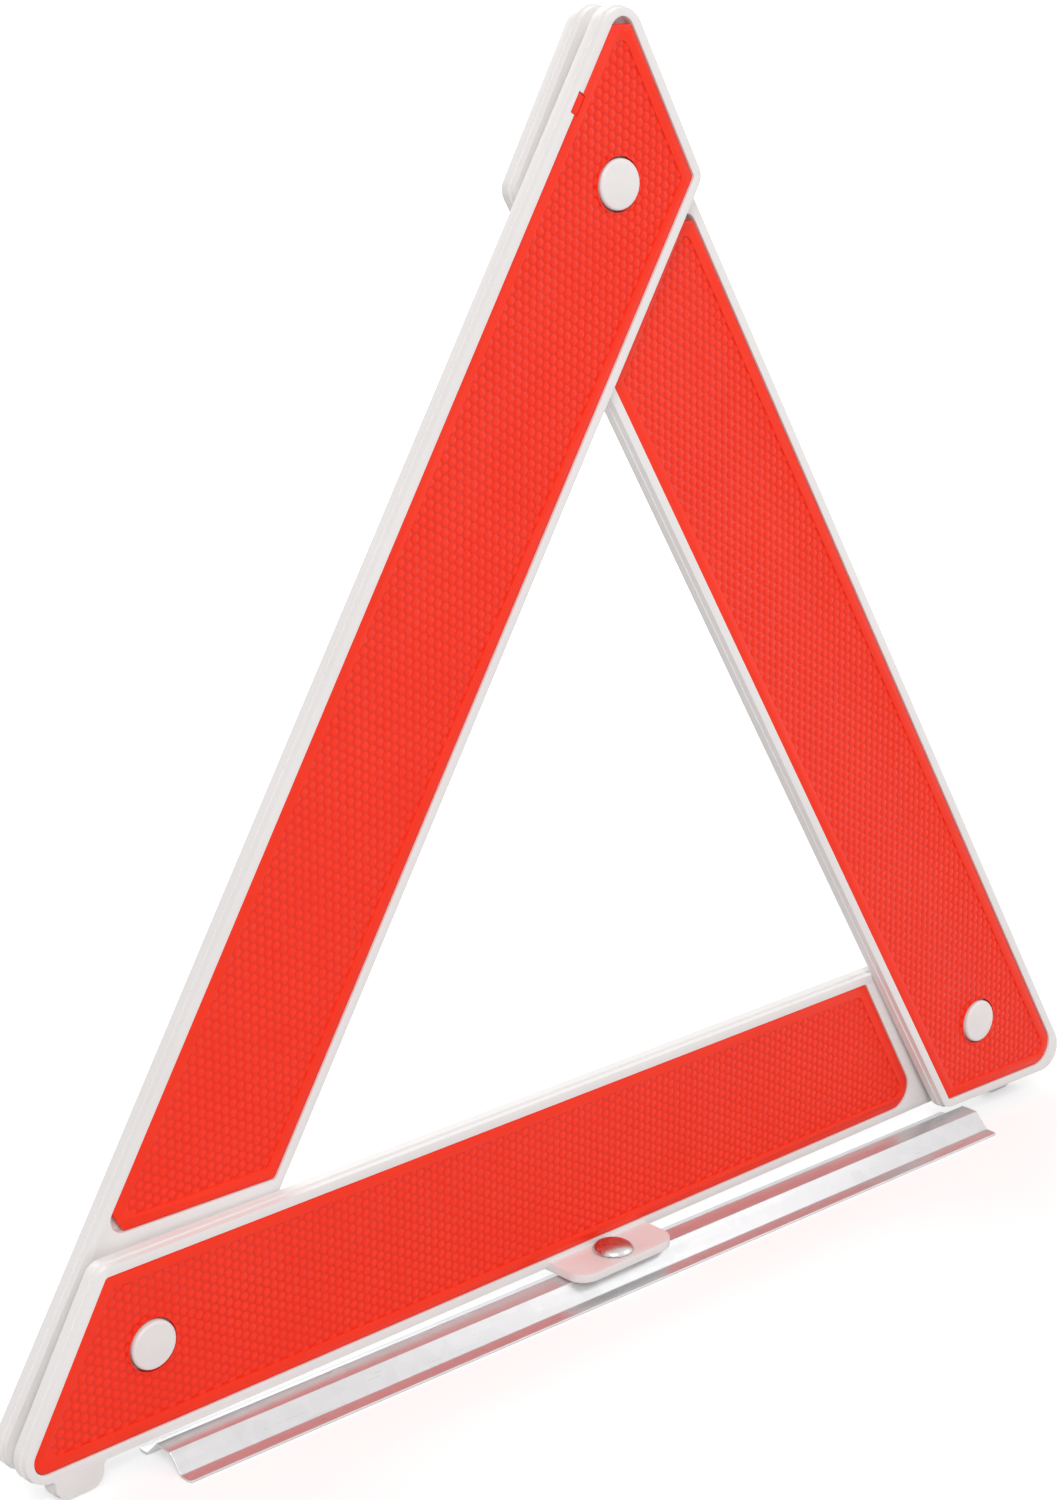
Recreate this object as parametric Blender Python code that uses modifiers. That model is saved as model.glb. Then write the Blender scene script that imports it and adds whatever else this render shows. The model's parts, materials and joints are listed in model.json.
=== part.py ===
"""Folding warning triangle: three lapped reflector arms on pivot pins and a swivelling steel stand.

Each arm is a flat white tray with a red reflector lens. The arms lap one over the next all the way round,
so every tray leans back by one layer from its head, which lies in front, to its tail, which lies behind.
"""

import math

import bmesh
import bpy
from mathutils import Matrix, Vector

MM = 0.001

# Triangle
PIVOT_RADIUS = 191.6 * MM      # from the middle of the triangle to each pivot
ARM_WIDTH = 55 * MM
ARM_THICKNESS = 5.0 * MM
RUN_CLEARANCE = 0.45 * MM      # least gap between two arms at any angle of the fold
ACUTE_RADIUS = 8 * MM          # rounding of a tray's pointed corners
OBTUSE_RADIUS = 5 * MM
STEP_INSET = 0.5 * MM          # the front half of a tray's wall is set in by this
STEP_DEPTH = 2.2 * MM

# Reflector lens and its pocket
RIM_WIDTH = 3.2 * MM
POCKET_DEPTH = 2.9 * MM
LENS_RECESS = 0.4 * MM         # lens face below the rim
LENS_GAP = 0.3 * MM
LENS_ACUTE_RADIUS = 7 * MM
LENS_OBTUSE_RADIUS = 1.5 * MM
FIELD_BORDER = 3.6 * MM        # smooth border round the sunk prism field
FIELD_DEPTH = 0.2 * MM

# Pivot pins
CAP_RADIUS = 7.0 * MM
CAP_RISE = 0.6 * MM            # cap face in front of the rim
CAP_EDGE = 0.5 * MM
PIN_RADIUS = 3.5 * MM
PIN_CLEARANCE = 0.6 * MM       # round the shank, and round the cap in the lens
SEAT_CLEARANCE = 0.6 * MM      # under the cap, and either side of a retainer
PIN_SHORTFALL = 0.4 * MM       # a pin ends this far inside the tail's rear face
RETAINER_RADIUS = 6 * MM
RETAINER_THICKNESS = 1.2 * MM
RETAINER_FIT = 0.1 * MM        # between a retainer and the shank that it grips
BOSS_RADIUS = 9 * MM
BOSS_HEIGHT = 1.2 * MM         # spacer ring on a tail's front face
SLOT_MOUTH = 13 * MM
SLOT_RISE = 0.37               # rise of the latch slot over its run, the way the latch peg leaves

# Fold
FOLD_ANGLE = math.radians(60)

# Feet, on the lower edge of the bottom arm
FOOT_HEIGHT = 6.7 * MM
FOOT_WIDTH = 16 * MM
FOOT_RADIUS = 5 * MM
FOOT_ROOT_RADIUS = 0.8 * MM
FOOT_SPAN = 379 * MM           # between the middles of the two feet
FOOT_SHIFT = -1.5 * MM

# Stand tab and rivet
STAND_SHIFT = -4 * MM          # tab, rivet and stand, along the bottom arm from its middle
TAB_WIDTH = 40 * MM
TAB_REACH = 14.3 * MM          # in front of the bottom arm's face
TAB_THICKNESS = 2.6 * MM
TAB_RISE = 2.0 * MM            # tab's top above the arm's lower edge
TAB_ROOT = 3.4 * MM            # tab sunk this far into the tray's wall
TAB_RADIUS = 6 * MM
RIVET_REACH = 6.8 * MM         # rivet axis in front of the arm's face
RIVET_HEAD_RADIUS = 6.2 * MM
RIVET_DOME = 2.4 * MM
RIVET_RADIUS = 2.2 * MM
RIVET_CLEARANCE = 0.4 * MM
RIVET_SEAT = 0.3 * MM
RIVET_TAIL_RADIUS = 3.3 * MM
RIVET_TAIL_THICKNESS = 1.0 * MM
WASHER_RADIUS = 3.7 * MM
WASHER_THICKNESS = 0.7 * MM
WASHER_DROP = 2.2 * MM         # washer's top below the stand's top, where its edge meets the flanks

# Stand: a bent strip of sheet steel with a flat top, sloping flanks and flat lips
STAND_LENGTH = 326 * MM
SHEET = 0.8 * MM
STAND_DROP = 1.0 * MM          # stand's top below the arm's lower edge
TOP_HALF_WIDTH = 3.0 * MM
FLANK_WIDTH = 4.8 * MM
LIP_WIDTH = 4.2 * MM
STAND_CORNER = 2.0 * MM        # rounding of the strip's corners, seen from above

ARC_STEP = math.radians(15)
TURN_STEPS = 28
CUT_MARGIN = 1.5 * MM          # how far cutters run past what they cut

# Values that follow from those above
PIVOT_SPACING = PIVOT_RADIUS * math.sqrt(3)
PITCH = (ARM_THICKNESS + RUN_CLEARANCE) / (1 - math.sqrt(3) * ARM_WIDTH / PIVOT_SPACING)
ARM_RADIUS = PIVOT_RADIUS / 2                       # middle of the triangle to an arm's centre line
LEAN = math.atan2(PITCH, PIVOT_SPACING)
PIVOT_X = PIVOT_SPACING / 2 / math.cos(LEAN)        # along a tray, from its middle to either pivot
HALF_WIDTH = ARM_WIDTH / 2
OUTER = ARM_RADIUS + HALF_WIDTH                     # middle of the triangle to its outer sides
INNER = ARM_RADIUS - HALF_WIDTH
LENS_HALF_WIDTH = HALF_WIDTH - RIM_WIDTH
GROUND = -(HALF_WIDTH + FOOT_HEIGHT)                # below the bottom arm's centre line
STAND_TOP = -(HALF_WIDTH + STAND_DROP)
TAB_TOP = -(HALF_WIDTH - TAB_RISE)
HOLE_RADIUS = PIN_RADIUS + PIN_CLEARANCE
RETAINER_FRONT = PITCH + ARM_THICKNESS - SEAT_CLEARANCE - RETAINER_THICKNESS   # along a pin
COUNTERBORE_DEPTH = RETAINER_THICKNESS + 2 * SEAT_CLEARANCE

PARTS = "warning_triangle"
CUTTERS = "cutters"
WHITE_PLASTIC = ("white_plastic", (0.80, 0.78, 0.77), 0.42, 0.0)
RED_LENS = ("red_lens", (0.83, 0.045, 0.025), 0.22, 0.0)
CAP_PLASTIC = ("cap_plastic", (0.78, 0.75, 0.74), 0.38, 0.0)
GALVANISED = ("galvanised_steel", (0.62, 0.63, 0.64), 0.36, 1.0)
RIVET_STEEL = ("rivet_steel", (0.60, 0.58, 0.57), 0.22, 1.0)
RETAINER_STEEL = ("retainer_steel", (0.55, 0.55, 0.56), 0.35, 1.0)


def clear_scene():
    for obj in list(bpy.data.objects):
        bpy.data.objects.remove(obj)


def collection_named(name):
    made = bpy.data.collections.new(name)
    bpy.context.scene.collection.children.link(made)
    return made


def material_of(name, colour, roughness, metallic):
    material = bpy.data.materials.get(name)
    if material is None:
        material = bpy.data.materials.new(name)
        material.use_nodes = True
        shader = material.node_tree.nodes["Principled BSDF"]
        shader.inputs["Base Color"].default_value = (*colour, 1.0)
        shader.inputs["Roughness"].default_value = roughness
        shader.inputs["Metallic"].default_value = metallic
    return material


def empty_at(name, matrix, parent):
    empty = bpy.data.objects.new(name, None)
    empty.empty_display_size = 0.02
    bpy.data.collections[PARTS].objects.link(empty)
    empty.parent = parent
    empty.matrix_local = matrix
    return empty


def object_of(name, mesh, parent, finish=None):
    """A part where a finish is given, and otherwise a hidden body for a Boolean."""
    obj = bpy.data.objects.new(name, mesh)
    obj.parent = parent
    if finish is None:
        bpy.data.collections[CUTTERS].objects.link(obj)
        obj.hide_render = True
        obj.display_type = "WIRE"
    else:
        bpy.data.collections[PARTS].objects.link(obj)
        mesh.materials.append(material_of(*finish))
    return obj


def boolean(obj, operation, other):
    modifier = obj.modifiers.new(other.name, "BOOLEAN")
    modifier.operation = operation
    modifier.solver = "EXACT"
    modifier.object = other


def rounded(corners):
    """Outline through (x, y, radius) corners, each turned into an arc."""
    points = []
    for i, (x, y, radius) in enumerate(corners):
        here = Vector((x, y))
        before = (Vector(corners[i - 1][:2]) - here).normalized()
        after = (Vector(corners[(i + 1) % len(corners)][:2]) - here).normalized()
        half = before.angle(after) / 2
        centre = here + (before + after).normalized() * (radius / math.sin(half))
        start = here + before * (radius / math.tan(half)) - centre
        turn = math.copysign(math.pi - 2 * half, before.x * -after.y + before.y * after.x)
        steps = max(2, math.ceil(abs(turn) / ARC_STEP))
        for step in range(steps + 1):
            points.append(centre + Matrix.Rotation(turn * step / steps, 2) @ start)
    return points


def plate_mesh(name, outline, low, high, matrix=Matrix()):
    """Closed mesh of a flat outline between two heights, made from a filled 2D curve."""
    curve = bpy.data.curves.new(name, "CURVE")
    curve.dimensions = "2D"
    curve.fill_mode = "BOTH"
    curve.extrude = (high - low) / 2
    spline = curve.splines.new("POLY")
    spline.points.add(len(outline) - 1)
    for point, place in zip(spline.points, outline):
        point.co = (place[0], place[1], 0, 1)
    spline.use_cyclic_u = True
    guide = bpy.data.objects.new(name, curve)
    bpy.context.scene.collection.objects.link(guide)
    graph = bpy.context.evaluated_depsgraph_get()
    mesh = bpy.data.meshes.new_from_object(guide.evaluated_get(graph))
    bpy.data.objects.remove(guide)
    shape = bmesh.new()
    shape.from_mesh(mesh)
    bmesh.ops.remove_doubles(shape, verts=shape.verts, dist=1e-6)
    bmesh.ops.dissolve_limit(shape, angle_limit=1e-3, verts=shape.verts, edges=shape.edges)
    bmesh.ops.recalc_face_normals(shape, faces=shape.faces)
    middle = Matrix.Translation((0, 0, (low + high) / 2))
    bmesh.ops.transform(shape, matrix=matrix @ middle, verts=shape.verts)
    shape.to_mesh(mesh)
    shape.free()
    mesh.name = name
    return mesh


def drum_mesh(name, radius, low, high, matrix=Matrix()):
    """Closed cylinder between two heights."""
    shape = bmesh.new()
    bmesh.ops.create_cone(
        shape, cap_ends=True, segments=TURN_STEPS, radius1=radius, radius2=radius, depth=high - low,
        matrix=matrix @ Matrix.Translation((0, 0, (low + high) / 2)),
    )
    mesh = bpy.data.meshes.new(name)
    shape.to_mesh(mesh)
    shape.free()
    return mesh


def turned(name, profile, parent, finish):
    """Turned piece: an (r, z) profile from the top, down its outer side, to the axis or its start."""
    mesh = bpy.data.meshes.new(name)
    edges = [(i, i + 1) for i in range(len(profile) - 1)]
    if profile[0][0] > 0:
        edges.append((len(profile) - 1, 0))
    mesh.from_pydata([(r, 0, z) for r, z in profile], edges, [])
    obj = object_of(name, mesh, parent, finish)
    screw = obj.modifiers.new("turn", "SCREW")
    screw.axis = "Z"
    screw.angle = 2 * math.pi
    screw.steps = TURN_STEPS
    screw.render_steps = TURN_STEPS
    screw.use_merge_vertices = True
    screw.merge_threshold = 1e-6
    screw.use_smooth_shade = True
    return obj


def side_x(distance, across):
    """Where a line parallel to a neighbouring side, this far from the triangle's middle, meets a tray."""
    return (distance + (ARM_RADIUS + across) / 2) / math.cos(math.pi / 6)


def tray_outline(inset, feet=()):
    """A tray's trapezium, head at -x and outer side at +y, with any feet on its outer edge."""
    edge = HALF_WIDTH - inset
    side = OUTER - inset
    acute = ACUTE_RADIUS - inset
    obtuse = OBTUSE_RADIUS - inset
    corners = [
        (-side_x(side, -edge), -edge, obtuse),
        (side_x(side, -edge), -edge, obtuse),
        (side_x(side, edge), edge, acute),
    ]
    half = FOOT_WIDTH / 2 - inset
    drop = HALF_WIDTH + FOOT_HEIGHT - inset
    for x in sorted(feet, reverse=True):
        corners.append((x + half, edge, FOOT_ROOT_RADIUS + inset))
        corners.append((x + half, drop, FOOT_RADIUS - inset))
        corners.append((x - half, drop, FOOT_RADIUS - inset))
        corners.append((x - half, edge, FOOT_ROOT_RADIUS + inset))
    corners.append((-side_x(side, edge), edge, acute))
    return rounded(corners)


def lens_outline(inset):
    """The pocket's outline, or the lens and its prism field further in."""
    edge = LENS_HALF_WIDTH - inset
    head = OUTER - RIM_WIDTH - inset
    tail = INNER - RIM_WIDTH - inset
    acute = LENS_ACUTE_RADIUS - inset
    obtuse = LENS_OBTUSE_RADIUS
    return rounded([
        (-side_x(head, -edge), -edge, obtuse),
        (side_x(tail, -edge), -edge, obtuse),
        (side_x(tail, edge), edge, acute),
        (-side_x(head, edge), edge, acute),
    ])


def slot_outline():
    """The latch slot, from the tail's pivot out through the tail's end."""
    run = Vector((1, -SLOT_RISE)).normalized()
    across = Vector((-run.y, run.x))
    pivot = Vector((PIVOT_X, 0))
    reach = pivot + run * (HALF_WIDTH + 3 * CUT_MARGIN) / math.cos(math.pi / 12)
    points = [reach - across * SLOT_MOUTH / 2, reach + across * SLOT_MOUTH / 2]
    steps = math.ceil(math.pi / ARC_STEP)
    for step in range(steps + 1):
        turn = Matrix.Rotation(math.pi * step / steps, 2)
        points.append(pivot + turn @ (across * HOLE_RADIUS))
    return points


def arm_matrix(turns):
    """Place of a tray: the bottom arm, then each arm a third of a turn on, seen from the front."""
    upright = Matrix.Rotation(-math.pi / 2, 4, "X")
    lean = Matrix.Rotation(-LEAN, 4, "Y")
    out = Matrix.Translation((0, PITCH / 2, -ARM_RADIUS))
    return Matrix.Rotation(-2 * math.pi / 3 * turns, 4, "Y") @ out @ upright @ lean


def fold_matrix(turns):
    """Place of the pin at an arm's head, its z axis the one that lays the arm behind flat on this arm."""
    front = arm_matrix(turns)
    behind = arm_matrix(turns - 1)
    to_normal = front.to_3x3().col[2].normalized()
    from_normal = behind.to_3x3().col[2].normalized()
    middle = (from_normal + to_normal).normalized()
    offset = math.tan(from_normal.angle(to_normal) / 2) / math.tan(FOLD_ANGLE / 2)
    sideways = from_normal.cross(to_normal).normalized()
    axis = middle * math.sqrt(1 - offset**2) + sideways * offset
    place = front @ Vector((-PIVOT_X, 0, 0))
    turn = Vector((0, 0, 1)).rotation_difference(axis)
    return Matrix.Translation(place) @ turn.to_matrix().to_4x4()


def make_frame(name, parent, feet=(), latch=False):
    """White tray: stepped wall, lens pocket, pivot holes and the spacer boss on the tail."""
    base = plate_mesh(name, tray_outline(0, feet), STEP_DEPTH, ARM_THICKNESS)
    frame = object_of(name, base, parent, WHITE_PLASTIC)
    overlap = (ARM_THICKNESS - STEP_DEPTH) / 2
    front = plate_mesh(name + "_front", tray_outline(STEP_INSET, feet), 0, STEP_DEPTH + overlap)
    boolean(frame, "UNION", object_of(name + "_front", front, parent))
    tail = Matrix.Translation((PIVOT_X, 0, 0))
    boss = drum_mesh(name + "_boss", BOSS_RADIUS, -BOSS_HEIGHT, STEP_DEPTH, tail)
    boolean(frame, "UNION", object_of(name + "_boss", boss, parent))
    pocket = plate_mesh(name + "_pocket", lens_outline(0), -CUT_MARGIN, POCKET_DEPTH)
    boolean(frame, "DIFFERENCE", object_of(name + "_pocket", pocket, parent))
    head = Matrix.Translation((-PIVOT_X, 0, 0))
    through = ARM_THICKNESS + CUT_MARGIN
    head_hole = drum_mesh(name + "_head_hole", HOLE_RADIUS, 0, through, head)
    boolean(frame, "DIFFERENCE", object_of(name + "_head_hole", head_hole, parent))
    above = -BOSS_HEIGHT - CUT_MARGIN
    if latch:
        tail_hole = plate_mesh(name + "_latch_slot", slot_outline(), above, through)
    else:
        tail_hole = drum_mesh(name + "_tail_hole", HOLE_RADIUS, above, through, tail)
    boolean(frame, "DIFFERENCE", object_of(name + "_tail_opening", tail_hole, parent))
    if not latch:
        floor = ARM_THICKNESS - COUNTERBORE_DEPTH
        counter_radius = RETAINER_RADIUS + SEAT_CLEARANCE
        counterbore = drum_mesh(name + "_counterbore", counter_radius, floor, through, tail)
        boolean(frame, "DIFFERENCE", object_of(name + "_counterbore", counterbore, parent))
    return frame


def add_stand_tab(frame, parent):
    """Tab at the foot of the bottom arm, with the rivet's hole through it."""
    flat = Matrix.Rotation(math.pi / 2, 4, "X")
    left = STAND_SHIFT - TAB_WIDTH / 2
    right = STAND_SHIFT + TAB_WIDTH / 2
    outline = rounded([
        (left, TAB_ROOT, STEP_INSET),
        (left, -TAB_REACH, TAB_RADIUS),
        (right, -TAB_REACH, TAB_RADIUS),
        (right, TAB_ROOT, STEP_INSET),
    ])
    low = TAB_TOP - TAB_THICKNESS
    tab = plate_mesh("stand_tab", outline, low, TAB_TOP, flat)
    boolean(frame, "UNION", object_of("stand_tab", tab, parent))
    rivet = flat @ Matrix.Translation((STAND_SHIFT, -RIVET_REACH, 0))
    bore = RIVET_RADIUS + RIVET_CLEARANCE
    hole = drum_mesh("stand_tab_hole", bore, low - CUT_MARGIN, TAB_TOP + CUT_MARGIN, rivet)
    boolean(frame, "DIFFERENCE", object_of("stand_tab_hole", hole, parent))


def make_lens(name, parent):
    """Red lens: it drops into the pocket, lets the cap through and has a sunk field in a smooth border."""
    mesh = plate_mesh(name, lens_outline(LENS_GAP), LENS_RECESS, POCKET_DEPTH - LENS_GAP)
    lens = object_of(name, mesh, parent, RED_LENS)
    sunk = LENS_RECESS + FIELD_DEPTH
    field = plate_mesh(name + "_field", lens_outline(LENS_GAP + FIELD_BORDER), -CUT_MARGIN, sunk)
    boolean(lens, "DIFFERENCE", object_of(name + "_field", field, parent))
    head = Matrix.Translation((-PIVOT_X, 0, 0))
    hole = drum_mesh(name + "_hole", CAP_RADIUS + PIN_CLEARANCE, -CUT_MARGIN, ARM_THICKNESS, head)
    boolean(lens, "DIFFERENCE", object_of(name + "_hole", hole, parent))


def make_pin(name, parent):
    """Pivot pin: a round cap in the lens, and a shank through the head and into the tail behind it."""
    shoulder = POCKET_DEPTH - SEAT_CLEARANCE
    end = PITCH + ARM_THICKNESS - PIN_SHORTFALL
    turned(name, [
        (0, end),
        (PIN_RADIUS, end),
        (PIN_RADIUS, shoulder),
        (CAP_RADIUS, shoulder),
        (CAP_RADIUS, CAP_EDGE - CAP_RISE),
        (CAP_RADIUS - CAP_EDGE, -CAP_RISE),
        (0, -CAP_RISE),
    ], parent, CAP_PLASTIC)


def make_retainer(name, parent):
    """Ring that grips the pin's end, sunk in the tail's rear face."""
    bore = PIN_RADIUS + RETAINER_FIT
    back = RETAINER_FRONT + RETAINER_THICKNESS
    turned(name, [
        (bore, back),
        (RETAINER_RADIUS, back),
        (RETAINER_RADIUS, RETAINER_FRONT),
        (bore, RETAINER_FRONT),
    ], parent, RETAINER_STEEL)


def stand_section():
    """Top face of the strip's section, front lip to rear lip, as (depth from the rivet, height)."""
    flank_foot = TOP_HALF_WIDTH + FLANK_WIDTH
    lip_edge = flank_foot + LIP_WIDTH
    low = GROUND + SHEET
    return [
        Vector((-lip_edge, low)),
        Vector((-flank_foot, low)),
        Vector((-TOP_HALF_WIDTH, STAND_TOP)),
        Vector((TOP_HALF_WIDTH, STAND_TOP)),
        Vector((flank_foot, low)),
        Vector((lip_edge, low)),
    ]


def make_stand(parent):
    """Strip of sheet steel: its section, one sheet thick straight down, run along its length."""
    top = stand_section()
    outline = top + [point - Vector((0, SHEET)) for point in reversed(top)]
    along = Matrix.Rotation(math.pi / 2, 4, "Z") @ Matrix.Rotation(math.pi / 2, 4, "X")
    half = STAND_LENGTH / 2
    mesh = plate_mesh("stand_plate", outline, -half, half, along)
    strip = object_of("stand_plate", mesh, parent, GALVANISED)
    edge = top[-1].x + CUT_MARGIN
    corner = STAND_CORNER + CUT_MARGIN
    corners = rounded([
        (-half, -edge, corner),
        (half, -edge, corner),
        (half, edge, corner),
        (-half, edge, corner),
    ])
    plan = plate_mesh("stand_plan", corners, GROUND - CUT_MARGIN, STAND_TOP + CUT_MARGIN)
    boolean(strip, "INTERSECT", object_of("stand_plan", plan, parent))
    bore = RIVET_RADIUS + RIVET_CLEARANCE
    hole = drum_mesh("stand_hole", bore, GROUND, STAND_TOP + CUT_MARGIN)
    boolean(strip, "DIFFERENCE", object_of("stand_hole", hole, parent))


def make_rivet(parent):
    """Steel rivet: a domed head on the tab, and a flat tail under the washer in the strip's channel."""
    seat = TAB_TOP + RIVET_SEAT
    tail_top = STAND_TOP - WASHER_DROP - WASHER_THICKNESS - RIVET_SEAT
    tail_low = tail_top - RIVET_TAIL_THICKNESS
    steps = 5
    profile = [(0, seat + RIVET_DOME)]
    for step in range(1, steps + 1):
        angle = math.pi / 2 * step / steps
        profile.append((RIVET_HEAD_RADIUS * math.sin(angle), seat + RIVET_DOME * math.cos(angle)))
    profile += [
        (RIVET_RADIUS, seat),
        (RIVET_RADIUS, tail_top),
        (RIVET_TAIL_RADIUS, tail_top),
        (RIVET_TAIL_RADIUS, tail_low),
        (0, tail_low),
    ]
    turned("stand_rivet", profile, parent, RIVET_STEEL)


def make_washer(parent):
    """Washer between the rivet's tail and the strip."""
    top = STAND_TOP - WASHER_DROP
    low = top - WASHER_THICKNESS
    bore = RIVET_RADIUS + RIVET_CLEARANCE
    turned("stand_washer", [
        (bore, top),
        (WASHER_RADIUS, top),
        (WASHER_RADIUS, low),
        (bore, low),
    ], parent, RETAINER_STEEL)


def world_corners():
    """Lowest and highest corner of all the finished parts together."""
    graph = bpy.context.evaluated_depsgraph_get()
    points = []
    for obj in bpy.data.collections[PARTS].objects:
        if obj.type == "MESH":
            shape = obj.evaluated_get(graph)
            points += [shape.matrix_world @ vertex.co for vertex in shape.data.vertices]
    low = Vector([min(point[i] for point in points) for i in range(3)])
    high = Vector([max(point[i] for point in points) for i in range(3)])
    return low, high


def main():
    clear_scene()
    collection_named(PARTS)
    collection_named(CUTTERS)
    root = empty_at("triangle", Matrix(), None)
    bottom = empty_at("bottom_arm", arm_matrix(0), root)
    right = empty_at("right_arm", arm_matrix(1), root)
    left = empty_at("left_arm", arm_matrix(2), root)
    foot_middle = FOOT_SHIFT
    feet = (foot_middle - FOOT_SPAN / 2, foot_middle + FOOT_SPAN / 2)
    bottom_frame = make_frame("bottom_arm_frame", bottom, feet, latch=True)
    add_stand_tab(bottom_frame, bottom)
    make_frame("right_arm_frame", right)
    make_frame("left_arm_frame", left)
    make_lens("bottom_reflector", bottom)
    make_lens("right_reflector", right)
    make_lens("left_reflector", left)
    lower_left = empty_at("left_fold", fold_matrix(0), root)
    latch = empty_at("latch", fold_matrix(1), root)
    top = empty_at("right_fold", fold_matrix(2), root)
    make_pin("lower_left_pivot_pin", lower_left)
    make_pin("latch_peg", latch)
    make_pin("top_pivot_pin", top)
    make_retainer("lower_left_retainer", lower_left)
    make_retainer("top_retainer", top)
    rivet_place = arm_matrix(0) @ Vector((STAND_SHIFT, 0, -RIVET_REACH))
    swivel = empty_at("stand_swivel", Matrix.Translation(rivet_place), root)
    make_stand(swivel)
    make_rivet(swivel)
    make_washer(swivel)
    bpy.context.view_layer.update()
    low, high = world_corners()
    root.location = (-(low.x + high.x) / 2, -(low.y + high.y) / 2, -low.z)
    bpy.context.view_layer.update()


main()
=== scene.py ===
"""Looks of the folding warning triangle: white arms, red honeycomb reflectors and a galvanised stand."""

import json
import math

import bmesh
import bpy
from mathutils import Matrix, Vector


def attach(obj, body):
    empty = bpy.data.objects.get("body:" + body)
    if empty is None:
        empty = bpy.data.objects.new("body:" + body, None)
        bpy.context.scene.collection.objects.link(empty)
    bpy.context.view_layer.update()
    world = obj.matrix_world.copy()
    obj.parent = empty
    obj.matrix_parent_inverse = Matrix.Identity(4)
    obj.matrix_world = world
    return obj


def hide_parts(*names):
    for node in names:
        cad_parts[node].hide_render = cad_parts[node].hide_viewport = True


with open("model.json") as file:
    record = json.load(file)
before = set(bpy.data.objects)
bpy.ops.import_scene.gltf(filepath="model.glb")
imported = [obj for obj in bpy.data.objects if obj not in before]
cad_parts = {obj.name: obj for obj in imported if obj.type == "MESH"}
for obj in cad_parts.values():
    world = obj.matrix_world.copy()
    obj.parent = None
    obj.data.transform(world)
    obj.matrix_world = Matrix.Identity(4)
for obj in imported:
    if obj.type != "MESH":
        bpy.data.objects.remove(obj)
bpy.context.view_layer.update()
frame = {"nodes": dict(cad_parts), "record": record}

MM = 0.001
SIN_30 = 0.5
COS_30 = math.cos(math.radians(30))
TAN_30 = math.tan(math.radians(30))

# Sizes shared with the part
ARM_WIDTH = 55 * MM
ARM_THICKNESS = 5.0 * MM
RUN_CLEARANCE = 0.45 * MM
RIM_WIDTH = 3.2 * MM
POCKET_DEPTH = 2.9 * MM
LENS_GAP = 0.3 * MM
LENS_FACE = 0.4 * MM            # lens border behind the tray's rim
FIELD_BORDER = 3.6 * MM
FIELD_FLOOR = 0.6 * MM          # floor of the solid's prism field behind the rim
CAP_HOLE = 7.6 * MM             # radius of the lens's hole round a cap
POCKET_RADIUS = 7.0 * MM        # at a pocket's pointed corners
LENS_RADIUS = 6.7 * MM          # at a lens's pointed corners

# Reflector cells
CELL_PITCH = 2.9 * MM           # between neighbouring domes across an arm
CELL_RADIUS = 1.43 * MM
CELL_HEIGHT = 0.36 * MM
CELL_SINK = 0.06 * MM           # dome's skirt below the floor
CELL_RINGS = (1.0, 0.74, 0.38)  # radii of a dome's rings of points, as shares of its own
CELL_SIDES = 10
GRID_MARGIN = 1.4               # the grid of cells reaches this many times as far as the pivots
FLOOR_DROP = 0.25 * MM          # the dressed lens has its floor this much deeper than the solid
FIELD_GROOVE = 0.45 * MM        # between the cut cells and the border or a cap's hole
FIELD_ROUNDING = 1.2 * MM       # cells this near a rounded corner are cut as well
COLLAR_WIDTH = 0.4 * MM         # thin ring round a cap's hole
COLLAR_SIDES = 48
GROOVE_SHADE_CURVE = 3                # how fast the painted shade darkens a cell towards its groove

# Pointed corners of pockets and lenses, at the head (-1) or tail (1), that differ from the solids
DEEP_RADIUS = 4.4 * MM          # of a pocket that runs further into its corner
TIP_RADIUS = 4.1 * MM           # of a lens that follows such a pocket
LENS_CUT = 6.0 * MM             # a flat takes this much off the corner of a lens that doesn't
SHOULDER = 1.8 * MM             # rounding at the ends of the flat
DEEP_POCKETS = {"left": (-1, 1), "right": (1,), "bottom": (-1,)}
CUT_LENSES = {"left": (-1, 1), "right": (1,), "bottom": ()}

# Lug of the left lens that shows in its rim
LUG_X = -177.5 * MM             # along the arm from its middle
LUG_LENGTH = 5.8 * MM
LUG_REACH = 1.3 * MM            # into the rim
LUG_BACK = 2.2 * MM             # its back behind the rim's front
LUG_PLAY = 0.2 * MM             # round it in its notch
LUG_OVERLAP = 1 * MM            # of the lug with the lens, and of the notch past the rim's front

# Edges and meshes
TRAY_EDGE = 0.45 * MM
LENS_EDGE = 0.22 * MM
CAP_EDGE = 0.3 * MM
SHEET_EDGE = 0.22 * MM
STEEL_EDGE = 0.12 * MM
EDGE_STEPS = 3
LENS_EDGE_STEPS = 2
BEVEL_ANGLE = math.radians(32)  # sharper edges are rounded off
SMOOTH_ANGLE = math.radians(38)  # sharper edges break the smooth shading
FLAT_ANGLE = math.radians(0.5)  # faces that meet at less are one flat face
WELD = 0.002 * MM               # points nearer than this are one
NEAR = 0.04 * MM                # points this near a plane or an arc lie on it
ARC_END = 0.49                  # cosine of a little more than half of a pointed corner's arc
ARC_MIDDLE = 0.01               # sine of an angle off the bisector that only the middle point is within

# Surfaces
NOISE_MIDDLE = (0.3, 0.7)       # most of a noise lies between these
RELIEF_DEPTH = 0.1 * MM         # of fine bumps at full strength

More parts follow.
